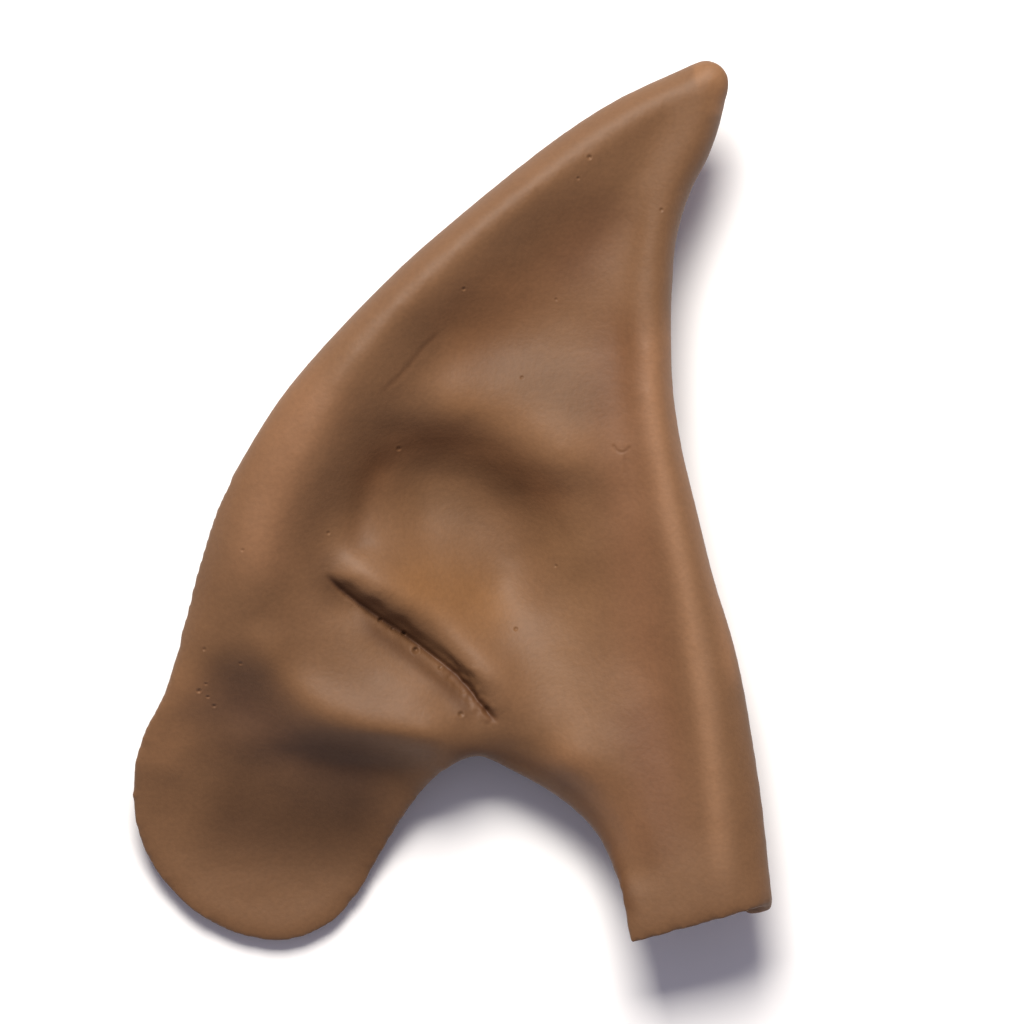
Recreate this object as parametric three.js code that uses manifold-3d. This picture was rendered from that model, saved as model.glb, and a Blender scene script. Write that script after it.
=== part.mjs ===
// A pointed latex ear tip for costume wear: one thin hollow skin, open below, that slips over the top of
// the wearer's ear. It lies on its back. Millimetres, +Z up, +Y towards the point, centred on the origin.
import * as THREE from "three";
import { mergeVertices } from "three/addons/utils/BufferGeometryUtils.js";
import Module from "manifold-3d";

// Driving dimensions
const EAR_LENGTH = 88; // from the lower end of the cheek flap and strip to the point
const EAR_WIDTH = 64; // from the cheek flap's edge to the rear strip's edge
const EAR_DEPTH = 18; // from the flat of the back to the highest crest of the rim
const WALL = 1.3; // thickness of the latex skin
const RIM_RADIUS = 3; // how far the rolled rim reaches in from the outline before it crests
const RIM_RISE = 3.2; // how far the rim's crest stands above its outermost edge
const BACK_ROUND = 10; // the largest rounding between the rim and the back
const STRIP_TONGUE = 0.6; // how far the folded-under side of the strip is cut longer than its face

// How finely the skin is faceted
const RIM_STEPS = 4; // facets from the rim's edge to its crest
const FRONT_STEPS = 28; // facets across the face between the two crests
const ROUND_STEPS = 5; // facets round each corner of the back
const BACK_STEPS = 10; // facets across the back between its corners
const DOME_STEPS = 4; // facets round the end of the point
const FOLD_SAMPLES = 24; // straight pieces that a fold's path is measured against
const CUT_STEPS = 5; // straight pieces of a cut between two of its points
const FLATNESS = 0.02; // facets that lie this near to a larger flat one are merged into it
const SAME_POINT = 1e-4; // corners nearer together than this are one corner
const SLOPE_STEP = 1e-3; // how far apart two points are taken to measure a slope

// How the hollow and the cuts are placed
const FIRST_HOLLOW = 2; // the section at which the hollow begins; above it the point is cast solid
const STEEPEST_STRETCH = 1.5; // the skin is never thicker than this many walls, measured straight down
const CLEAR_OF_WALL = 1.2; // how many walls in from the rim's edge the middle of the hollow begins to fall
const MIDDLE = 0.45; // where the middle of the hollow lies, as a share of the way from the back to the face
const OVERLAP = 0.05; // how far the two cuts overlap where they meet inside the hollow
const SKIN_BEYOND = 1; // how far the skin runs on past its last section, before it is trimmed
const HOLLOW_BEYOND = 2; // how far the hollow runs on past its last section
const CUT_HEIGHT = 4 * EAR_DEPTH; // height of the block that a cut takes away
const FOLD_END = 0.25; // the share of a fold's path over which it rises or fades out at each end

// Sections across the ear, from the point down past the lower end. left and right are the ends of the
// section on the ear's outline, as shares of EAR_WIDTH and EAR_LENGTH; below the waist they run outside the
// trimmed edge. rim is how wide the rolled rim is at each end, as a share of RIM_RADIUS. face holds eight
// heights from the left crest to the right crest, and back the heights of the back at the left and the right,
// as shares of EAR_DEPTH. rows is the number of facets to the next section.
const SECTIONS = [
  { left: [0.884, 1.001], right: [0.927, 0.964], rim: [1, 1], back: [0.467, 0.467], rows: 2,
    face: [0.722, 0.722, 0.722, 0.722, 0.722, 0.722, 0.722, 0.722] },
  { left: [0.8, 0.974], right: [0.916, 0.929], rim: [1, 1], back: [0.4, 0.4], rows: 2,
    face: [0.756, 0.744, 0.739, 0.733, 0.733, 0.733, 0.733, 0.733] },
  { left: [0.725, 0.945], right: [0.899, 0.894], rim: [1.2, 1], back: [0.328, 0.328], rows: 3,
    face: [0.8, 0.778, 0.756, 0.739, 0.728, 0.722, 0.728, 0.739] },
  { left: [0.635, 0.899], right: [0.87, 0.852], rim: [1.2, 1], back: [0.222, 0.222], rows: 4,
    face: [0.85, 0.822, 0.794, 0.767, 0.739, 0.717, 0.717, 0.739] },
  { left: [0.519, 0.831], right: [0.849, 0.8], rim: [1.05, 0.9], back: [0.111, 0.111], rows: 4,
    face: [0.911, 0.867, 0.817, 0.767, 0.717, 0.678, 0.672, 0.728] },
  { left: [0.413, 0.763], right: [0.842, 0.74], rim: [1.1, 0.87], back: [0.042, 0.042], rows: 4,
    face: [0.961, 0.9, 0.822, 0.75, 0.7, 0.667, 0.667, 0.728] },
  { left: [0.321, 0.695], right: [0.841, 0.684], rim: [1.15, 0.87], back: [0, 0], rows: 4,
    face: [0.994, 0.9, 0.772, 0.694, 0.661, 0.65, 0.661, 0.728] },
  { left: [0.24, 0.627], right: [0.844, 0.625], rim: [1.5, 0.87], back: [0, 0], rows: 4,
    face: [1, 0.889, 0.733, 0.7, 0.694, 0.694, 0.7, 0.739] },
  { left: [0.179, 0.559], right: [0.858, 0.559], rim: [1.77, 0.87], back: [0, 0], rows: 4,
    face: [0.967, 0.833, 0.622, 0.556, 0.594, 0.683, 0.711, 0.744] },
  { left: [0.13, 0.491], right: [0.881, 0.491], rim: [2.07, 0.97], back: [0, 0], rows: 4,
    face: [0.883, 0.733, 0.544, 0.489, 0.478, 0.55, 0.667, 0.744] },
  { left: [0.098, 0.417], right: [0.906, 0.417], rim: [2.2, 1.03], back: [0, 0], rows: 4,
    face: [0.789, 0.689, 0.622, 0.511, 0.433, 0.483, 0.622, 0.739] },
  { left: [0.069, 0.343], right: [0.938, 0.341], rim: [1.8, 1.33], back: [0, 0.078], rows: 4,
    face: [0.7, 0.667, 0.644, 0.533, 0.472, 0.5, 0.611, 0.733] },
  { left: [0.027, 0.286], right: [0.955, 0.286], rim: [1.33, 1.47], back: [0, 0.128], rows: 3,
    face: [0.567, 0.556, 0.656, 0.661, 0.567, 0.544, 0.622, 0.733] },
  { left: [-0.016, 0.241], right: [0.966, 0.239], rim: [1, 1.53], back: [-0.12, 0.167], rows: 3,
    face: [0.411, 0.433, 0.578, 0.656, 0.644, 0.6, 0.633, 0.728] },
  { left: [-0.043, 0.201], right: [0.975, 0.198], rim: [1, 1.57], back: [-0.28, 0.211], rows: 3,
    face: [0.322, 0.322, 0.344, 0.378, 0.544, 0.611, 0.644, 0.722] },
  { left: [-0.059, 0.15], right: [0.984, 0.15], rim: [1, 1.6], back: [-0.4, 0.25], rows: 3,
    face: [0.244, 0.233, 0.228, 0.244, 0.344, 0.528, 0.644, 0.717] },
  { left: [-0.063, 0.082], right: [0.994, 0.082], rim: [1, 1.6], back: [-0.42, 0.278], rows: 3,
    face: [0.172, 0.156, 0.15, 0.161, 0.278, 0.5, 0.644, 0.711] },
  { left: [-0.051, -0.009], right: [1.005, 0.002], rim: [1, 1.6], back: [-0.42, 0.289], rows: 0,
    face: [0.156, 0.133, 0.133, 0.156, 0.278, 0.5, 0.644, 0.7] },
];

// Folds of the face, each a smooth ridge or groove along a path given as shares of EAR_WIDTH and EAR_LENGTH.
// rise is its height, as a share of EAR_DEPTH, negative for a groove. before and after are how far it reaches
// on the left and on the right of the path, as shares of EAR_WIDTH.
const FOLDS = {
  antihelixCrest: { rise: 0.085, before: 0.075, after: 0.05,
    path: [[0.34, 0.584], [0.418, 0.6], [0.496, 0.599], [0.558, 0.586], [0.621, 0.559],
      [0.683, 0.525], [0.738, 0.485]] },
  bowlFoot: { rise: -0.085, before: 0.05, after: 0.11,
    path: [[0.394, 0.527], [0.457, 0.527], [0.519, 0.516], [0.582, 0.493], [0.644, 0.457],
      [0.683, 0.417]] },
  crusRidge: { rise: 0.1, before: 0.086, after: 0.016,
    path: [[0.29, 0.425], [0.332, 0.417], [0.394, 0.391], [0.436, 0.373], [0.483, 0.345],
      [0.527, 0.318], [0.561, 0.286], [0.593, 0.252]] },
  crusCrease: { rise: -0.085, before: 0.014, after: 0.03,
    path: [[0.296, 0.411], [0.326, 0.402], [0.386, 0.368], [0.424, 0.35], [0.461, 0.329],
      [0.505, 0.303], [0.53, 0.277], [0.568, 0.243]] },
  notchEdge: { rise: -0.22, before: 0.078, after: 0.078,
    path: [[0.519, 0.173], [0.558, 0.186], [0.621, 0.167], [0.683, 0.139], [0.722, 0.099],
      [0.742, 0.048]] },
  stripCrest: { rise: 0.03, before: 0.05, after: 0.04,
    path: [[0.792, 0.786], [0.805, 0.616], [0.842, 0.479], [0.886, 0.332], [0.909, 0.207],
      [0.917, 0.093]] },
  stripGroove: { rise: -0.03, before: 0.039, after: 0.039,
    path: [[0.792, 0.366], [0.842, 0.207], [0.867, 0.07]] },
  stripInnerCrest: { rise: 0.022, before: 0.039, after: 0.039,
    path: [[0.714, 0.252], [0.792, 0.161], [0.816, 0.07]] },
  rimTrough: { rise: -0.022, before: 0.03, after: 0.03,
    path: [[0.758, 0.729], [0.764, 0.593], [0.808, 0.479]] },
};

// The scissor cut round the cheek flap and the notch, from the waist to the strip's inner corner, and the
// two ends of the straight cut across the strip; then the cut along the back, from the waist to the strip's
// end. All are shares of EAR_WIDTH and EAR_LENGTH.
const FLAP_AND_NOTCH_CUT = [
  [0.027, 0.434], [0.068, 0.375], [0.076, 0.348], [0.066, 0.32],
  [0.049, 0.282], [0.018, 0.239], [0.001, 0.195], [0.001, 0.144],
  [0.024, 0.093], [0.076, 0.045], [0.148, 0.012], [0.23, 0.001],
  [0.299, 0.018], [0.344, 0.051], [0.378, 0.093], [0.416, 0.139],
  [0.45, 0.173], [0.483, 0.196], [0.537, 0.213], [0.592, 0.196],
  [0.65, 0.173], [0.692, 0.15], [0.722, 0.127], [0.741, 0.104],
  [0.764, 0.059], [0.775, 0.014], [0.779, 0.002],
];
const STRIP_CUT_END = [1.042, 0.055];
const BACK_CUT = [
  [0.06, 0.585], [0.155, 0.525], [0.262, 0.434], [0.402, 0.382],
  [0.543, 0.348], [0.667, 0.298], [0.777, 0.227], [0.87, 0.139],
  [0.941, 0.065], [0.959, 0.031],
];

const QUARTER_TURN = Math.PI / 2;
const LAST = SECTIONS.length - 1;

const plan = ([x, y]) => new THREE.Vector2((x - 0.5) * EAR_WIDTH, (y - 0.5) * EAR_LENGTH);
const smooth = (share) => THREE.MathUtils.smoothstep(share, 0, 1);

// A smooth curve through one column of SECTIONS, and a straight run between its values, by place along
// the ear.
function smoothColumn(pick) {
  const curve = new THREE.SplineCurve(SECTIONS.map((section, i) => new THREE.Vector2(i, pick(section))));
  return (along) => curve.getPoint(along / LAST).y;
}
function straightColumn(pick) {
  return (along) => {
    const start = Math.min(Math.floor(along), LAST - 1);
    return THREE.MathUtils.lerp(pick(SECTIONS[start]), pick(SECTIONS[start + 1]), along - start);
  };
}
const leftEdge = new THREE.SplineCurve(SECTIONS.map((section) => plan(section.left)));
const rightEdge = new THREE.SplineCurve(SECTIONS.map((section) => plan(section.right)));
const faceColumns = SECTIONS[0].face.map((_, i) => smoothColumn((section) => section.face[i] * EAR_DEPTH));
const rimColumns = SECTIONS[0].rim.map((_, i) => smoothColumn((section) => section.rim[i] * RIM_RADIUS));
const backColumns = SECTIONS[0].back.map((_, i) => straightColumn((section) => section.back[i] * EAR_DEPTH));

// The section at a place along the ear: its two ends, its heights and the sizes of its rounded sides.
function sectionAt(along) {
  const left = leftEdge.getPoint(along / LAST);
  const right = rightEdge.getPoint(along / LAST);
  const width = left.distanceTo(right);
  const face = faceColumns.map((column) => column(along));
  const back = backColumns.map((column) => column(along));
  const rims = rimColumns.map((column) => Math.min(column(along), width / 2));
  const rise = Math.min(RIM_RISE, width / 2);
  const edges = [face[0] - rise, face[face.length - 1] - rise];
  const drops = edges.map((edge, i) => edge - back[i]);
  const rounds = drops.map((drop) => Math.min(BACK_ROUND, drop, width / 2));
  return { left, right, width, face, back, rims, rise, edges, drops, rounds };
}

// The point in plan that lies a distance in from a section's left end.
const across = (section, distance) => section.left.clone().lerp(section.right, distance / section.width);

const foldPaths = Object.values(FOLDS).map((fold) => ({
  ...fold,
  points: new THREE.SplineCurve(fold.path.map(plan)).getPoints(FOLD_SAMPLES),
}));

// How high the folds stand at a point in plan.
function foldHeight(point) {
  let height = 0;
  for (const fold of foldPaths) {
    let nearest = Infinity;
    let side = 1;
    let place = 0;
    for (let i = 0; i < FOLD_SAMPLES; i++) {
      const piece = fold.points[i + 1].clone().sub(fold.points[i]);
      const offset = point.clone().sub(fold.points[i]);
      const share = THREE.MathUtils.clamp(offset.dot(piece) / piece.lengthSq(), 0, 1);
      const distance = offset.distanceTo(piece.clone().multiplyScalar(share));
      if (distance < nearest) {
        nearest = distance;
        side = Math.sign(piece.cross(offset));
        place = (i + share) / FOLD_SAMPLES;
      }
    }
    const reach = (side > 0 ? fold.before : fold.after) * EAR_WIDTH;
    const fade = smooth(place / FOLD_END) * smooth((1 - place) / FOLD_END);
    height += fold.rise * EAR_DEPTH * fade * Math.exp(-((nearest / reach) ** 2));
  }
  return height;
}

// A smooth curve through evenly spaced heights, read at a share of the way.
function through(heights, share) {
  const curve = new THREE.SplineCurve(heights.map((height, i) => new THREE.Vector2(i, height)));
  return curve.getPoint(share).y;
}

// The face between the two crests: a point on its outside, at a share of the way across.
function facePoint(along, share) {
  const section = sectionAt(along);
  const [leftRim, rightRim] = section.rims;
  const point = across(section, leftRim + share * (section.width - leftRim - rightRim));
  return new THREE.Vector3(point.x, point.y, through(section.face, share) + foldHeight(point));
}

// How much thicker the skin measures straight down than square to its surface.
function stretchAt(along, share) {
  const here = facePoint(along, share);
  const stepAlong = along > LAST / 2 ? -SLOPE_STEP : SLOPE_STEP;
  const stepAcross = share > 0.5 ? -SLOPE_STEP : SLOPE_STEP;
  const down = facePoint(along + stepAlong, share).sub(here);
  const over = facePoint(along, share + stepAcross).sub(here);
  const normal = down.cross(over);
  return Math.min(STEEPEST_STRETCH, 1 / Math.abs(normal.normalize().z));
}

// One closed loop of the skin, inset from its outside: the left rim, the face, the right rim and the back.
function loopAt(along, inset) {
  const section = sectionAt(along);
  const { width, rims, rise, edges, drops, rounds, back } = section;
  const loop = [];
  const put = (distance, height) => {
    const point = across(section, distance);
    loop.push(new THREE.Vector3(point.x, point.y, height));
  };
  const putRim = (side, angle) => {
    const inFromEdge = rims[side] - (rims[side] - inset) * Math.cos(angle);
    const distance = side ? width - inFromEdge : inFromEdge;
    const lift = Math.sin(angle);
    put(distance, edges[side] + (rise - inset) * lift + foldHeight(across(section, distance)) * lift);
  };
  const putRound = (side, angle) => {
    const inFromEdge = rounds[side] - (rounds[side] - inset) * Math.cos(angle);
    put(side ? width - inFromEdge : inFromEdge, edges[side] - (drops[side] - inset) * Math.sin(angle));
  };
  for (let i = 0; i < RIM_STEPS; i++) putRim(0, (i / RIM_STEPS) * QUARTER_TURN);
  for (let i = 0; i <= FRONT_STEPS; i++) {
    const share = i / FRONT_STEPS;
    const point = facePoint(along, share);
    if (inset) point.z -= inset * stretchAt(along, share);
    loop.push(point);
  }
  for (let i = RIM_STEPS - 1; i >= 0; i--) putRim(1, (i / RIM_STEPS) * QUARTER_TURN);
  for (let i = 1; i < ROUND_STEPS; i++) putRound(1, (i / ROUND_STEPS) * QUARTER_TURN);
  for (let i = BACK_STEPS; i >= 0; i--) {
    const share = i / BACK_STEPS;
    const distance = rounds[0] + share * (width - rounds[0] - rounds[1]);
    put(distance, THREE.MathUtils.lerp(back[0], back[1], share) + inset);
  }
  for (let i = ROUND_STEPS - 1; i > 0; i--) putRound(0, (i / ROUND_STEPS) * QUARTER_TURN);
  return loop;
}

// One closed loop round all that lies below the middle of the hollow, down to a depth under the ear.
function underLoopAt(along) {
  const section = sectionAt(along);
  const { width, edges, back } = section;
  const wallEnd = Math.min(CLEAR_OF_WALL * WALL, width / 4);
  const loop = [];
  const put = (distance, height) => {
    const point = across(section, distance);
    loop.push(new THREE.Vector3(point.x, point.y, height));
  };
  put(-RIM_RADIUS, edges[0]);
  put(wallEnd, edges[0]);
  for (let i = 0; i <= FRONT_STEPS; i++) {
    const share = i / FRONT_STEPS;
    const point = facePoint(along, share);
    point.z = THREE.MathUtils.lerp(THREE.MathUtils.lerp(back[0], back[1], share), point.z, MIDDLE);
    loop.push(point);
  }
  put(width - wallEnd, edges[1]);
  put(width + RIM_RADIUS, edges[1]);
  put(width + RIM_RADIUS, -EAR_DEPTH);
  put(-RIM_RADIUS, -EAR_DEPTH);
  return loop;
}

const wasm = await Module();
wasm.setup();

function solidOf(geometry) {
  const bare = geometry.clone();
  bare.deleteAttribute("normal");
  bare.deleteAttribute("uv");
  const merged = mergeVertices(bare, SAME_POINT);
  return new wasm.Manifold(
    new wasm.Mesh({
      numProp: 3,
      vertProperties: new Float32Array(merged.attributes.position.array),
      triVerts: new Uint32Array(merged.index.array),
    }),
  );
}

// A closed solid skinned over loops of equally many points, with a point of its own closing each end.
function skinOver(loops, firstEnd, lastEnd) {
  const count = loops[0].length;
  const points = [firstEnd, ...loops.flat(), lastEnd];
  const index = (loop, i) => 1 + loop * count + (i % count);
  const triangles = [];
  for (let i = 0; i < count; i++) {
    triangles.push(0, index(0, i), index(0, i + 1));
    triangles.push(points.length - 1, index(loops.length - 1, i + 1), index(loops.length - 1, i));
  }
  for (let loop = 0; loop < loops.length - 1; loop++) {
    for (let i = 0; i < count; i++) {
      const corners = [index(loop, i), index(loop + 1, i), index(loop + 1, i + 1), index(loop, i + 1)];
      const [a, b, c, d] = corners;
      const [pa, pb, pc, pd] = corners.map((corner) => points[corner]);
      if (pa.distanceTo(pc) < pb.distanceTo(pd)) triangles.push(a, b, c, a, c, d);
      else triangles.push(a, b, d, b, c, d);
    }
  }
  const geometry = new THREE.BufferGeometry().setFromPoints(points);
  geometry.setIndex(triangles);
  return solidOf(geometry);
}

function middleOf(loop) {
  const sum = loop.reduce((total, point) => total.add(point), new THREE.Vector3());
  return sum.divideScalar(loop.length);
}

// Every place along the ear where a loop stands, from a first section on.
function placesFrom(first) {
  const places = SECTIONS.flatMap(({ rows }, i) => Array.from({ length: rows }, (_, row) => i + row / rows));
  return [...places.filter((place) => place >= first), LAST];
}

// The ear filled solid, inset from its outside, from a first section to past its lower end. Its point is a
// dome that carries on the taper of the sections before it.
function earSolid(inset, first, beyond) {
  const places = placesFrom(first);
  const loops = places.map((along) => loopAt(along, inset));
  const centre = middleOf(loops[0]);
  const outwards = centre.clone().sub(middleOf(loops[1])).normalize();
  const halfWidths = places.slice(0, 2).map((along) => sectionAt(along).width / 2);
  const taper = Math.atan2(halfWidths[1] - halfWidths[0], centre.distanceTo(middleOf(loops[1])));
  const radius = (halfWidths[0] - inset) / Math.cos(taper);
  const domeLoop = (angle) =>
    loops[0].map((point) =>
      centre
        .clone()
        .addScaledVector(point.clone().sub(centre), Math.cos(angle) / Math.cos(taper))
        .addScaledVector(outwards, radius * (Math.sin(angle) - Math.sin(taper))),
    );
  const dome = [];
  for (let i = DOME_STEPS; i > 0; i--) {
    dome.push(domeLoop(THREE.MathUtils.lerp(taper, QUARTER_TURN, i / (DOME_STEPS + 1))));
  }
  const tail = loops[loops.length - 1].map((point) => point.clone().add(new THREE.Vector3(0, -beyond, 0)));
  const all = [...dome, ...loops, tail];
  const end = centre.clone().addScaledVector(outwards, radius * (1 - Math.sin(taper)));
  return skinOver(all, end, middleOf(tail));
}

// Everything under the middle of the hollow.
function underSolid() {
  const loops = placesFrom(0).map(underLoopAt);
  const head = loops[0].map((point) => point.clone().add(new THREE.Vector3(0, EAR_DEPTH, 0)));
  const tail = loops[loops.length - 1].map((point) => point.clone().add(new THREE.Vector3(0, -EAR_DEPTH, 0)));
  const all = [head, ...loops, tail];
  return skinOver(all, middleOf(head), middleOf(tail));
}

// What a cut takes away in plan: all that lies below and to the left of a line that ends right of the ear.
function wasteOf(points, end) {
  const shape = new THREE.Shape();
  const low = -EAR_LENGTH;
  const far = EAR_WIDTH;
  shape.moveTo(points[0].x, points[0].y);
  shape.splineThru(points.slice(1));
  shape.lineTo(end.x, end.y);
  shape.lineTo(end.x, low);
  shape.lineTo(-far, low);
  shape.lineTo(-far, points[0].y);
  shape.closePath();
  const settings = { depth: CUT_HEIGHT, bevelEnabled: false, curveSegments: CUT_STEPS };
  return solidOf(new THREE.ExtrudeGeometry(shape, settings).translate(0, 0, -CUT_HEIGHT / 2));
}

function earTipSolid() {
  const outside = earSolid(0, 0, SKIN_BEYOND);
  const hollow = earSolid(WALL, FIRST_HOLLOW, HOLLOW_BEYOND);
  const skin = outside.subtract(hollow);
  const under = underSolid();
  const faceCut = FLAP_AND_NOTCH_CUT.map(plan);
  const backCut = BACK_CUT.map(plan);
  const stripEnd = plan(STRIP_CUT_END);
  const tongueEnd = stripEnd.clone().sub(new THREE.Vector2(0, STRIP_TONGUE));
  const faceWaste = wasteOf(faceCut, stripEnd).subtract(under);
  const backWaste = wasteOf(backCut, tongueEnd).intersect(under.translate(0, 0, OVERLAP));
  return skin.subtract(faceWaste).subtract(backWaste).simplify(FLATNESS);
}

function geometryOf(solid) {
  const { vertProperties, triVerts, numProp } = solid.getMesh();
  const geometry = new THREE.BufferGeometry();
  geometry.setAttribute("position", new THREE.BufferAttribute(vertProperties, numProp));
  geometry.setIndex(new THREE.BufferAttribute(triVerts, 1));
  return geometry;
}

// The ear stands on z = 0 with the origin under its middle.
function settle(geometry) {
  geometry.computeBoundingBox();
  const { min, max } = geometry.boundingBox;
  return geometry.translate(-(min.x + max.x) / 2, -(min.y + max.y) / 2, -min.z);
}

const latex = new THREE.MeshStandardMaterial({ color: 0x966a4e, roughness: 0.62, metalness: 0 });
const earTip = new THREE.Mesh(settle(geometryOf(earTipSolid())), latex);
earTip.name = "ear_tip";

const model = new THREE.Group();
model.add(earTip);

export default model;
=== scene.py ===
"""The looks of a latex elf ear tip, lying on its back on a pale table and seen from straight above.

Lengths are in metres, in the part's own frame: +Y towards the point, +Z up out of the face. A place on the
ear is given in pixels of the camera's frame, which is 1024 pixels wide: x to the right and y down.
"""

import functools
import math

import bmesh
import bpy
import numpy as np
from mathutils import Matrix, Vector, noise
from mathutils.bvhtree import BVHTree

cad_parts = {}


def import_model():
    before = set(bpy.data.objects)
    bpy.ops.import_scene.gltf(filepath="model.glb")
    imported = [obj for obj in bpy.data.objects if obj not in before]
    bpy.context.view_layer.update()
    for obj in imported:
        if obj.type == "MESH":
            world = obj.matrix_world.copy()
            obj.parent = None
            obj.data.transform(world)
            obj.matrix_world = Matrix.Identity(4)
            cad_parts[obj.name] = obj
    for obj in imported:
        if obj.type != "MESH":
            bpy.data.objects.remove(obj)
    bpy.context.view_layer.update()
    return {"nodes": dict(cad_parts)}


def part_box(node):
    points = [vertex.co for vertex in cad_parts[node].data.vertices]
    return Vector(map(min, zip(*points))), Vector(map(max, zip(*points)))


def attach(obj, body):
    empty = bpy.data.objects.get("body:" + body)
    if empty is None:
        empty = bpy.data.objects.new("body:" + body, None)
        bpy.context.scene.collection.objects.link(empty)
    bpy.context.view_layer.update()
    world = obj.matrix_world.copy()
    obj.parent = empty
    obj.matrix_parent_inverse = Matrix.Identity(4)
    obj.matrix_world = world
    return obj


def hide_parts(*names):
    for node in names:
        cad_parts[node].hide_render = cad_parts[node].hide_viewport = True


MM = 0.001

# The frame that the places on the ear are given in.
FRAME_PIXELS = 1024
EAR_PIXELS = 880.5  # length of the ear in the frame
EAR_MIDDLE = (452.75, 501.75)  # where the middle of the ear's box lies in the frame

# The fine mesh.
SKIN_GRAIN = 0.36 * MM  # its edge length
FAIRING_ROUNDS = 190  # how often it is faired to lose the facets
SKIN_TRIANGLES = 157000  # how many triangles it keeps once the hidden inside and back are made coarser
FAIRING_IN = 0.5
FAIRING_OUT = -0.515
FACE_ROUNDS = 14  # how often the height of the face is smoothed once more
MARK_REACH = 1.5 * MM  # how far round a fine mark the mesh is made finer
MARK_CUTS = 2  # cuts through each edge there

# Paths of the folds and marks of the face, and of the painted light and shade.
CREASE = [(324, 572), (340, 588), (380, 618), (404, 634), (428, 652), (456, 674), (472, 692), (488, 712), (500, 725)]
CREASE_START = [(322, 540), (328, 580), (345, 618)]
CREASE_FOOT = [(345, 606), (372, 629), (396, 646), (420, 664), (447, 687), (463, 705), (478, 722)]
CREASE_BRINK = [(329, 564), (345, 580), (386, 609), (410, 625), (434, 643), (462, 665), (479, 684), (495, 703), (509, 716)]
CREASE_LIP = [(330, 564), (350, 571), (384, 583), (416, 600), (446, 620), (470, 645), (496, 674), (516, 701), (528, 726)]
NUBBLE = [(440, 662), (456, 676), (472, 694), (486, 711), (498, 724)]
RIM_CREST = [(600, 150), (545, 186), (478, 246), (410, 312), (362, 374), (330, 440), (308, 505), (298, 560)]
RIM_BAND = [(346, 352), (308, 414), (280, 480), (262, 545), (258, 610)]
RIM_OUTSIDE = [(640, 90), (560, 138), (480, 198), (400, 270), (330, 350)]
POINT = [(690, 76), (712, 76), (722, 96), (718, 120)]
BOWL_MIDDLE = [(525, 262), (468, 302), (425, 350)]
ARCH_END = [(515, 482), (556, 502), (604, 492)]
CRUS_TOP = [(395, 505), (445, 500), (490, 540)]
CHEEK = [(545, 495), (578, 580), (562, 680), (592, 770)]
BOWL_TOP = [(545, 300), (590, 245), (625, 180)]
BOWL = [(640, 190), (585, 235), (530, 290), (475, 345), (430, 395)]
LUMP_EDGE = [(250, 612), (268, 650), (296, 688), (336, 716), (384, 733), (430, 738), (480, 740)]
LUMP_TOP = [(310, 650), (360, 675), (410, 700)]
LUMP_FOOT = [(205, 636), (228, 686), (266, 724), (312, 748), (370, 760), (425, 762)]
FLAP_FALL = [(250, 760), (310, 785), (370, 790), (410, 780)]
# Paths along which the lump's shadow and the shade at its foot are painted on the flap.
FLAP_SHADE = [(205, 650), (240, 705), (290, 748), (350, 772), (410, 775)]
FLAP_PAINTED_SHADOW = [(290, 765), (350, 785), (425, 770)]
FLAP_LOW_SHADE = [(185, 795), (250, 822), (330, 834), (405, 805)]
FLAP_EDGE = [(208, 655), (184, 705), (166, 745), (158, 780)]
ARCH_LEFT = [(396, 452), (368, 484), (358, 530), (366, 560)]
ARCH = [(362, 515), (372, 478), (398, 448), (445, 440), (488, 452), (522, 470), (552, 492), (578, 515)]
ARCH_BROW = [(420, 402), (470, 405), (520, 418), (560, 440), (598, 474)]
STRIP_CREST_HIGHLIGHT = [(652, 300), (652, 390), (661, 470), (680, 560), (693, 640), (703, 700), (715, 800), (724, 900)]
STRIP_LOW = [(632, 690), (650, 770), (662, 890)]
STRIP_OUTSIDE_HIGHLIGHT = [(670, 300), (676, 400), (694, 500), (718, 600), (736, 700)]
STRIP_INSIDE = [(628, 260), (620, 380), (630, 500), (642, 620), (656, 760), (672, 900)]
NOTCH_SHOULDER = [(530, 745), (572, 768), (600, 795), (622, 830), (636, 875)]
NOTCH_RIM = [(440, 758), (480, 752), (530, 766), (575, 795), (605, 835), (622, 880), (634, 925)]
CRUS = [(370, 575), (430, 585), (490, 605), (520, 640)]
PLATEAU_SIDE = [(606, 300), (608, 350), (606, 400), (612, 450)]
PLATEAU = [(440, 370), (500, 365), (570, 400), (600, 440)]
HOOK_SCRATCH = [(612, 444), (617, 451), (624, 452), (631, 446)]
HOOK_STEM = [(624, 453), (624, 477)]
CRACK = [(445, 330), (425, 348), (405, 372), (378, 398)]

# Each fold: its path, rise in mm (a groove has less than 0), half width in mm, and the share of its length
# over which it fades in and out.
FOLDS = [
    (CREASE, -0.4, 0.32, 0.14),
    (CREASE_FOOT, 0.45, 1.1, 0.2),
    (CREASE_BRINK, 0.15, 0.75, 0.16),
    (CREASE_LIP, 0.4, 1.9, 0.2),
    (RIM_CREST, 0.65, 3.0, 0.2),
    (BOWL, -0.4, 4.2, 0.3),
    (LUMP_EDGE, 0.8, 2.4, 0.2),
    (LUMP_FOOT, -0.5, 2.4, 0.2),
    (FLAP_FALL, 0.7, 3.4, 0.3),
    (ARCH_LEFT, -0.35, 1.4, 0.2),
    (NOTCH_SHOULDER, 1.0, 2.8, 0.25),
]

# Each low mound: its place, half width across and along in mm, and rise in mm.
MOUNDS = [
    ((252, 562), 4.0, 6.5, 1.2),
    ((566, 546), 4.0, 3.4, 0.95),
    ((172, 752), 3.6, 5.0, 0.7),
    ((510, 605), 3.4, 3.4, -0.45),
    ((552, 520), 3.4, 2.8, 0.45),
]

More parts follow.
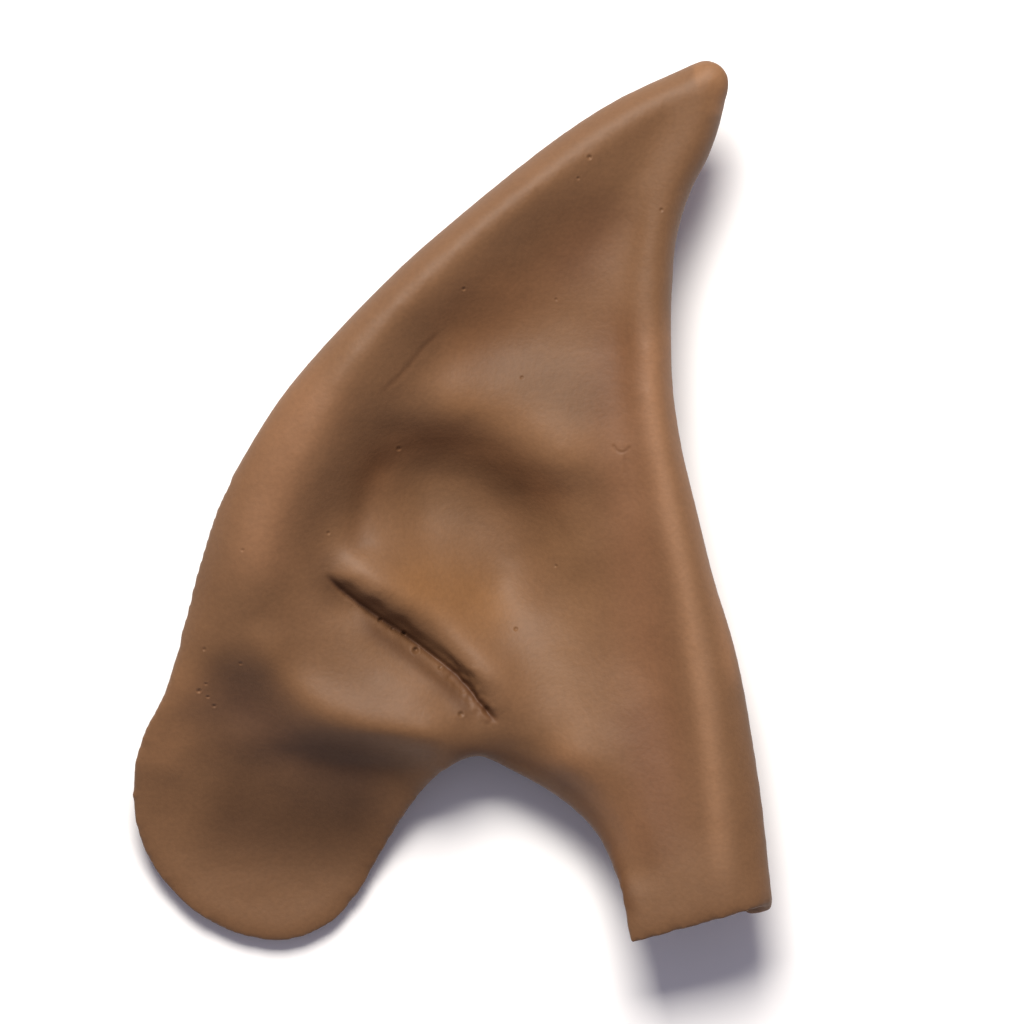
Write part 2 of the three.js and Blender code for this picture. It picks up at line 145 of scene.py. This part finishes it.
# Fine marks: bubbles and pits in the skin, each with its place, radius and depth in mm.
PITS = [
    ((380, 620), 0.24, 0.35), ((404, 633), 0.26, 0.4), ((416, 650), 0.34, 0.55), ((392, 629), 0.16, 0.25),
    ((440, 668), 0.2, 0.3), ((589, 159), 0.26, 0.22), ((578, 180), 0.18, 0.16), ((661, 211), 0.2, 0.18),
    ((464, 290), 0.2, 0.2), ((522, 378), 0.18, 0.16), ((399, 449), 0.24, 0.2), ((556, 300), 0.16, 0.12),
    ((516, 629), 0.22, 0.18), ((556, 566), 0.16, 0.14), ((329, 533), 0.2, 0.14), ((244, 550), 0.18, 0.14),
    ((205, 649), 0.2, 0.16), ((241, 663), 0.2, 0.16), ((199, 691), 0.24, 0.2), ((208, 697), 0.18, 0.16),
    ((214, 706), 0.2, 0.18), ((206, 684), 0.16, 0.14), ((461, 714), 0.3, 0.2),
]

# Fine lines of the skin: path, rise in mm, half width in mm and fade.
LINES = [
    (HOOK_SCRATCH, -0.06, 0.14, 0.1),
    (HOOK_STEM, -0.04, 0.14, 0.2),
    (CRACK, -0.06, 0.3, 0.2),
]

# The latex and how it is tinted: path, half width in mm, fade, and what the colour is multiplied by. Most tints are
# painted light and shade (lighter where the light falls, darker in shadows and folds); the rest are the latex's own
# tone.
LATEX_BROWN = (0.156, 0.0765, 0.0335)
TINTS_AND_PAINTED_LIGHT = [
    # painted highlight along the crest of the strip, lighter and a little bluer
    (STRIP_CREST_HIGHLIGHT, 1.2, 0.1, (1.46, 1.52, 1.66)),
    (STRIP_INSIDE, 3.4, 0.2, (1.12, 1.05, 1.05)),
    # painted shade in the shallow groove of the strip
    (STRIP_LOW, 2.6, 0.2, (0.87, 0.84, 0.84)),
    # painted highlight along the outer side of the strip
    (STRIP_OUTSIDE_HIGHLIGHT, 0.9, 0.1, (1.42, 1.42, 1.45)),
    # painted shadow of the lump and painted shade at its foot, on the flap (these four tints)
    (FLAP_SHADE, 4.6, 0.25, (0.74, 0.74, 0.83)),
    (LUMP_FOOT, 2.2, 0.3, (0.88, 0.88, 0.92)),
    (FLAP_LOW_SHADE, 5.2, 0.25, (0.58, 0.56, 0.54)),
    (FLAP_PAINTED_SHADOW, 2.8, 0.2, (0.84, 0.84, 0.84)),
    # painted light on the lit edge of the lump and on the left side of the flap
    (LUMP_EDGE, 1.5, 0.25, (1.15, 1.15, 1.12)),
    (FLAP_EDGE, 2.6, 0.2, (1.32, 1.32, 1.32)),
    # painted light along the arch
    (ARCH, 1.9, 0.2, (1.16, 1.09, 1.02)),
    # painted shade in the groove left of the arch
    (ARCH_LEFT, 1.4, 0.2, (0.88, 0.86, 0.84)),
    (BOWL, 4.0, 0.3, (1.0, 0.95, 0.92)),
    # painted shade at the top of the bowl under the rim
    (BOWL_TOP, 2.8, 0.3, (0.84, 0.82, 0.84)),
    # painted light in the middle of the bowl, on the brow and end of the arch
    (BOWL_MIDDLE, 2.8, 0.3, (1.2, 1.18, 1.15)),
    (ARCH_BROW, 2.2, 0.2, (1.18, 1.16, 1.12)),
    (ARCH_END, 2.0, 0.3, (1.2, 1.2, 1.2)),
    # painted shade above the crus
    (CRUS_TOP, 2.2, 0.3, (0.88, 0.88, 0.86)),
    # painted light on the cheek
    (CHEEK, 3.0, 0.2, (1.13, 1.14, 1.12)),
    # painted light on the rim band and painted shade on its outer side
    (RIM_BAND, 3.2, 0.25, (1.36, 1.35, 1.42)),
    (RIM_OUTSIDE, 1.6, 0.2, (0.93, 0.93, 0.95)),
    # painted highlight on the point
    (POINT, 1.5, 0.1, (1.4, 1.4, 1.4)),
    # the latex's olive tone on the plateau, together with painted shade
    (PLATEAU, 4.5, 0.3, (0.82, 0.8, 0.74)),
    (PLATEAU_SIDE, 2.6, 0.3, (0.84, 0.8, 0.74)),
    # the latex's orange tone on the crus, together with painted light; painted highlight on the lip above the crease
    (CRUS, 3.2, 0.3, (1.2, 1.14, 0.95)),
    (CREASE_LIP, 1.3, 0.15, (1.15, 1.15, 1.15)),
    (LUMP_TOP, 3.0, 0.3, (0.9, 0.88, 0.82)),
    # painted shade in the crease, below its lip, at its start and along its nubbly end
    (CREASE, 0.36, 0.12, (0.62, 0.54, 0.5)),
    (CREASE_FOOT, 0.95, 0.2, (0.66, 0.62, 0.6)),
    (CREASE_START, 1.8, 0.3, (0.8, 0.78, 0.76)),
    (NUBBLE, 0.7, 0.2, (0.85, 0.78, 0.72)),
    # painted light on the shoulder of the notch and painted shade where its edge rolls down
    (NOTCH_SHOULDER, 2.2, 0.2, (1.28, 1.27, 1.3)),
    (NOTCH_RIM, 0.8, 0.1, (0.72, 0.66, 0.6)),
    (HOOK_SCRATCH, 0.16, 0.1, (0.88, 0.86, 0.84)),
    (HOOK_STEM, 0.16, 0.2, (0.92, 0.9, 0.88)),
    (CRACK, 0.3, 0.2, (0.88, 0.85, 0.82)),
]


@functools.lru_cache
def ear_box():
    """The low and high corner of the ear's box in the CAD model."""
    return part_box("ear_tip")


def plan_place(pixel):
    """The place in plan of a point of the frame."""
    low, high = ear_box()
    pixel_size = (high[1] - low[1]) / EAR_PIXELS
    across = 0.5 * (low[0] + high[0]) + (pixel[0] - EAR_MIDDLE[0]) * pixel_size
    along = 0.5 * (low[1] + high[1]) - (pixel[1] - EAR_MIDDLE[1]) * pixel_size
    return np.array([across, along])


def smooth_path(pixels, count=28):
    """Points on a smooth curve through places of the frame."""
    points = np.array([plan_place(pixel) for pixel in pixels])
    before = 2 * points[0] - points[1]
    after = 2 * points[-1] - points[-2]
    knots = np.vstack([before, points, after])
    path = []
    for place in np.linspace(0, len(points) - 1, count):
        i = min(int(place), len(points) - 2)
        t = place - i
        a, b, c, d = knots[i : i + 4]
        path.append(0.5 * (2 * b + (c - a) * t + (2 * a - 5 * b + 4 * c - d) * t**2 + (3 * b - a - 3 * c + d) * t**3))
    return np.array(path)


def path_distance(plan, path):
    """For each point in plan: its distance to the path, and how far along the path it lies, from 0 to 1."""
    nearest = np.full(len(plan), np.inf)
    along = np.zeros(len(plan))
    for i in range(len(path) - 1):
        piece = path[i + 1] - path[i]
        offset = plan - path[i]
        share = np.clip(offset @ piece / (piece @ piece), 0, 1)
        distance = np.linalg.norm(offset - share[:, None] * piece, axis=1)
        closer = distance < nearest
        nearest[closer] = distance[closer]
        along[closer] = (i + share[closer]) / (len(path) - 1)
    return nearest, along


def bell(distance, width):
    return np.exp(-((distance / width) ** 2))


def ramp(value, start, end):
    """0 before start and 1 after end, turning smoothly between."""
    t = np.clip((value - start) / (end - start), 0, 1)
    return t * t * (3 - 2 * t)


def stroke(plan, pixels, half_width, fade):
    """1 along a path and 0 away from it, with soft sides and ends."""
    distance, along = path_distance(plan, smooth_path(pixels))
    return bell(distance, half_width) * ramp(along, 0, fade) * ramp(1 - along, 0, fade)


def vertex_array(mesh):
    flat = np.empty(len(mesh.vertices) * 3)
    mesh.vertices.foreach_get("co", flat)
    return flat.reshape(-1, 3)


def set_vertex_array(mesh, points):
    mesh.vertices.foreach_set("co", points.ravel())
    mesh.update()


def normal_array(mesh):
    flat = np.empty(len(mesh.vertices) * 3)
    mesh.vertices.foreach_get("normal", flat)
    return flat.reshape(-1, 3)


def edge_array(mesh):
    flat = np.empty(len(mesh.edges) * 2, dtype=np.int64)
    mesh.edges.foreach_get("vertices", flat)
    return flat.reshape(-1, 2)


def neighbour_mean(values, edges):
    """The mean of each vertex's neighbours."""
    count = np.bincount(edges.ravel(), minlength=len(values))
    mean = np.empty_like(values)
    for axis in range(values.shape[1]):
        column = values[:, axis]
        total = np.bincount(edges[:, 0], column[edges[:, 1]], len(values))
        total += np.bincount(edges[:, 1], column[edges[:, 0]], len(values))
        mean[:, axis] = total / count
    return mean


def copy_node(source, name):
    mesh = source.data.copy()
    mesh.transform(source.matrix_world)
    copy = bpy.data.objects.new(name, mesh)
    bpy.context.scene.collection.objects.link(copy)
    return copy


def mesh_evenly(skin, grain):
    """Gives the skin an even mesh with edges about as long as grain."""
    remesh = skin.modifiers.new("even_mesh", "REMESH")
    remesh.mode = "VOXEL"
    remesh.voxel_size = grain
    remesh.adaptivity = 0
    apply_modifiers(skin)


def apply_modifiers(skin):
    depsgraph = bpy.context.evaluated_depsgraph_get()
    mesh = bpy.data.meshes.new_from_object(skin.evaluated_get(depsgraph))
    skin.modifiers.clear()
    skin.data = mesh


def thin_out_inside(skin):
    """Makes the mesh coarser where it can't be seen from above."""
    mesh = skin.data
    seen = seen_from_above(mesh)
    hidden = skin.vertex_groups.new(name="hidden")
    hidden.add([int(i) for i in np.flatnonzero(seen == 0)], 1.0, "REPLACE")
    triangles = sum(len(face.vertices) - 2 for face in mesh.polygons)
    coarser = skin.modifiers.new("coarser_inside", "DECIMATE")
    coarser.ratio = SKIN_TRIANGLES / triangles
    coarser.vertex_group = hidden.name
    apply_modifiers(skin)
    skin.vertex_groups.clear()


def fair(mesh):
    """Smooths the facets away without shrinking the skin."""
    points = vertex_array(mesh)
    edges = edge_array(mesh)
    for _ in range(FAIRING_ROUNDS):
        for factor in (FAIRING_IN, FAIRING_OUT):
            points += factor * (neighbour_mean(points, edges) - points)
    set_vertex_array(mesh, points)


def smooth_face_height(mesh):
    """Smooths the height of what faces up, and leaves its outline as it is."""
    points = vertex_array(mesh)
    edges = edge_array(mesh)
    face = ramp(normal_array(mesh)[:, 2:], 0.3, 0.8)
    height = points[:, 2:].copy()
    for _ in range(FACE_ROUNDS):
        height += face * (neighbour_mean(height, edges) - height)
    points[:, 2:] = height
    set_vertex_array(mesh, points)


def seen_from_above(mesh):
    """1 for each vertex that nothing covers from above, and 0 for the others, with a soft border."""
    points = vertex_array(mesh)
    normals = normal_array(mesh)
    tree = BVHTree.FromPolygons([Vector(p) for p in points], [tuple(f.vertices) for f in mesh.polygons])
    up = Vector((0, 0, 1))
    seen = np.zeros(len(points))
    for i in np.flatnonzero(normals[:, 2] > 0.05):
        start = Vector(points[i] + 0.2 * MM * normals[i])
        seen[i] = tree.ray_cast(start, up)[0] is None
    edges = edge_array(mesh)
    soft = seen[:, None]
    for _ in range(3):
        soft = neighbour_mean(soft, edges)
    return seen * ramp(soft[:, 0], 0.4, 0.9)


def fold_height(plan):
    """How far the folds raise the face at each point in plan."""
    height = np.zeros(len(plan))
    for path, rise, half_width, fade in FOLDS:
        height += rise * MM * stroke(plan, path, half_width * MM, fade)
    return height


def mound_height(plan):
    """How far the low mounds raise the face at each point in plan."""
    height = np.zeros(len(plan))
    for pixel, across, along, rise in MOUNDS:
        offset = (plan - plan_place(pixel)) / (across * MM, along * MM)
        height += rise * MM * np.exp(-(offset**2).sum(axis=1))
    return height


def pit_height(plan):
    """Small round hollows, each with a faint raised rim."""
    height = np.zeros(len(plan))
    for pixel, radius, depth in PITS:
        distance = np.linalg.norm(plan - plan_place(pixel), axis=1)
        height -= depth * MM * bell(distance, 0.7 * radius * MM)
        height += 0.12 * depth * MM * bell(distance - 1.25 * radius * MM, 0.4 * radius * MM)
    return height


def line_height(plan):
    height = np.zeros(len(plan))
    for path, rise, half_width, fade in LINES:
        height += rise * MM * stroke(plan, path, half_width * MM, fade)
    return height


def noise_array(points, size, seed):
    """Smooth noise between about -1 and 1, whose spots are about as large as size."""
    shift = Vector((seed, 0, 0))
    return np.array([noise.noise(Vector(p) / size + shift) for p in points])


def unevenness(points):
    """The slight waviness of a hand-cast skin, and the nubbly band at the lower end of the crease."""
    waves = 0.09 * MM * noise_array(points, 7 * MM, 0) + 0.03 * MM * noise_array(points, 2.2 * MM, 11)
    nubbles = 0.22 * MM * noise_array(points, 0.7 * MM, 23) * stroke(points[:, :2], NUBBLE, 0.9 * MM, 0.2)
    return waves + nubbles


def refine_marks(mesh):
    """Makes the mesh finer round the crease and the fine marks of the face."""
    points = vertex_array(mesh)
    plan = points[:, :2]
    near = np.zeros(len(points), dtype=bool)
    for path in (CREASE, HOOK_SCRATCH, HOOK_STEM, CRACK):
        distance, _ = path_distance(plan, smooth_path(path))
        near |= distance < MARK_REACH
    for pixel, radius, _ in PITS:
        distance = np.linalg.norm(plan - plan_place(pixel), axis=1)
        near |= distance < radius * MM + 0.35 * MARK_REACH
    near &= normal_array(mesh)[:, 2] > 0.2
    fine = bmesh.new()
    fine.from_mesh(mesh)
    fine.verts.ensure_lookup_table()
    edges = [edge for edge in fine.edges if near[edge.verts[0].index] and near[edge.verts[1].index]]
    bmesh.ops.subdivide_edges(fine, edges=edges, cuts=MARK_CUTS, use_grid_fill=True)
    fine.to_mesh(mesh)
    fine.free()


def paint(mesh, points, face, seen):
    """Stores the colour of each vertex for the material: the latex brown with its tints, most of them painted light
    and shade.
    """
    colour = np.ones((len(points), 4))
    plan = points[face, :2]
    tint = np.ones((len(face), 3))
    for path, half_width, fade, factor in TINTS_AND_PAINTED_LIGHT:
        amount = stroke(plan, path, half_width * MM, fade)[:, None]
        tint *= 1 + amount * (np.array(factor) - 1)
    blotches = noise_array(points[face], 5 * MM, 37)
    specks = noise_array(points[face], 1.3 * MM, 53)
    tint *= 1 + 0.05 * blotches[:, None] * (0.8, 1.0, 1.3) + 0.035 * specks[:, None]
    amount = seen[face][:, None]
    colour[face, :3] = 1 + amount * (tint - 1)
    colour[:, :3] *= LATEX_BROWN
    layer = mesh.color_attributes.new("latex_tint_and_painted_light", "FLOAT_COLOR", "POINT")
    layer.data.foreach_set("color", colour.ravel())


def make_skin(frame):
    skin = copy_node(frame["nodes"]["ear_tip"], "latex_skin")
    mesh_evenly(skin, SKIN_GRAIN)
    fair(skin.data)
    smooth_face_height(skin.data)
    thin_out_inside(skin)
    mesh = skin.data
    refine_marks(mesh)
    points = vertex_array(mesh)
    normals = normal_array(mesh)
    seen = seen_from_above(mesh)
    face = np.flatnonzero(seen > 0)
    plan = points[face, :2]
    height = fold_height(plan) + mound_height(plan) + pit_height(plan) + line_height(plan)
    waves = unevenness(points[face])
    paint(mesh, points, face, seen)
    points[face, 2] += seen[face] * height
    points[face] += normals[face] * (seen[face] * waves)[:, None]
    set_vertex_array(mesh, points)
    mesh.shade_smooth()
    return skin


def latex_material():
    """Brown latex: tinted, with painted light and shade among the tints, lightly mottled and faintly dimpled like
    orange peel.
    """
    material = bpy.data.materials.new("brown_latex")
    material.use_nodes = True
    nodes = material.node_tree.nodes
    links = material.node_tree.links
    surface = nodes["Principled BSDF"]
    surface.inputs["Roughness"].default_value = 0.58
    surface.inputs["Specular IOR Level"].default_value = 0.3
    tint = nodes.new("ShaderNodeVertexColor")
    tint.layer_name = "latex_tint_and_painted_light"
    place = nodes.new("ShaderNodeTexCoord")
    grain = nodes.new("ShaderNodeTexNoise")
    grain.inputs["Scale"].default_value = 2200
    grain.inputs["Detail"].default_value = 3
    shade = nodes.new("ShaderNodeMapRange")
    shade.inputs["From Min"].default_value = 0.25
    shade.inputs["From Max"].default_value = 0.75
    shade.inputs["To Min"].default_value = 0.93
    shade.inputs["To Max"].default_value = 1.07
    mottle = nodes.new("ShaderNodeVectorMath")
    mottle.operation = "SCALE"
    bump = nodes.new("ShaderNodeBump")
    bump.inputs["Strength"].default_value = 0.5
    bump.inputs["Distance"].default_value = 0.05 * MM
    links.new(place.outputs["Object"], grain.inputs["Vector"])
    links.new(grain.outputs["Fac"], shade.inputs["Value"])
    links.new(tint.outputs["Color"], mottle.inputs[0])
    links.new(shade.outputs["Result"], mottle.inputs["Scale"])
    links.new(mottle.outputs["Vector"], surface.inputs["Base Color"])
    links.new(grain.outputs["Fac"], bump.inputs["Height"])
    links.new(bump.outputs["Normal"], surface.inputs["Normal"])
    return material


def make_table():
    size = 2.0
    mesh = bpy.data.meshes.new("table")
    corners = [(-size, -size, 0), (size, -size, 0), (size, size, 0), (-size, size, 0)]
    mesh.from_pydata(corners, [], [(0, 1, 2, 3)])
    table = bpy.data.objects.new("table", mesh)
    bpy.context.scene.collection.objects.link(table)
    material = bpy.data.materials.new("white_table")
    material.use_nodes = True
    surface = material.node_tree.nodes["Principled BSDF"]
    surface.inputs["Base Color"].default_value = (0.9, 0.9, 0.9, 1)
    surface.inputs["Roughness"].default_value = 0.8
    mesh.materials.append(material)
    return table


def add_area_light(name, elevation, azimuth, distance, size, power, colour):
    """A square light that shines on the origin from an azimuth counted from +X towards +Y."""
    light = bpy.data.lights.new(name, "AREA")
    light.size = size
    light.energy = power
    light.color = colour
    lamp = bpy.data.objects.new(name, light)
    flat = math.cos(elevation)
    direction = Vector((flat * math.cos(azimuth), flat * math.sin(azimuth), math.sin(elevation)))
    lamp.location = distance * direction
    lamp.rotation_euler = direction.to_track_quat("Z", "Y").to_euler()
    bpy.context.scene.collection.objects.link(lamp)


def light_scene():
    world = bpy.data.worlds.new("room")
    bpy.context.scene.world = world
    world.use_nodes = True
    background = world.node_tree.nodes["Background"]
    background.inputs["Color"].default_value = (0.83, 0.79, 0.97, 1)
    background.inputs["Strength"].default_value = 0.32
    add_area_light("window", math.radians(53), math.radians(95), 0.8, 0.35, 10.6, (1.0, 0.95, 0.88))


def place_camera():
    """Straight above, with the ear at its place in the frame."""
    low, high = ear_box()
    pixel_size = (high[1] - low[1]) / EAR_PIXELS
    distance = 1.2
    lens = bpy.data.cameras.new("camera")
    lens.sensor_width = 36
    lens.lens = lens.sensor_width * distance / (FRAME_PIXELS * pixel_size)
    camera = bpy.data.objects.new("camera", lens)
    right = (FRAME_PIXELS / 2 - EAR_MIDDLE[0]) * pixel_size
    down = (FRAME_PIXELS / 2 - EAR_MIDDLE[1]) * pixel_size
    camera.location = (right, -down, 0.5 * (low[2] + high[2]) + distance)
    bpy.context.scene.collection.objects.link(camera)
    bpy.context.scene.camera = camera
    bpy.context.scene.view_settings.view_transform = "Standard"


def main():
    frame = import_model()
    skin = make_skin(frame)
    skin.data.materials.clear()
    skin.data.materials.append(latex_material())
    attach(skin, "root")
    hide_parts("ear_tip")
    make_table()
    light_scene()
    place_camera()


main()
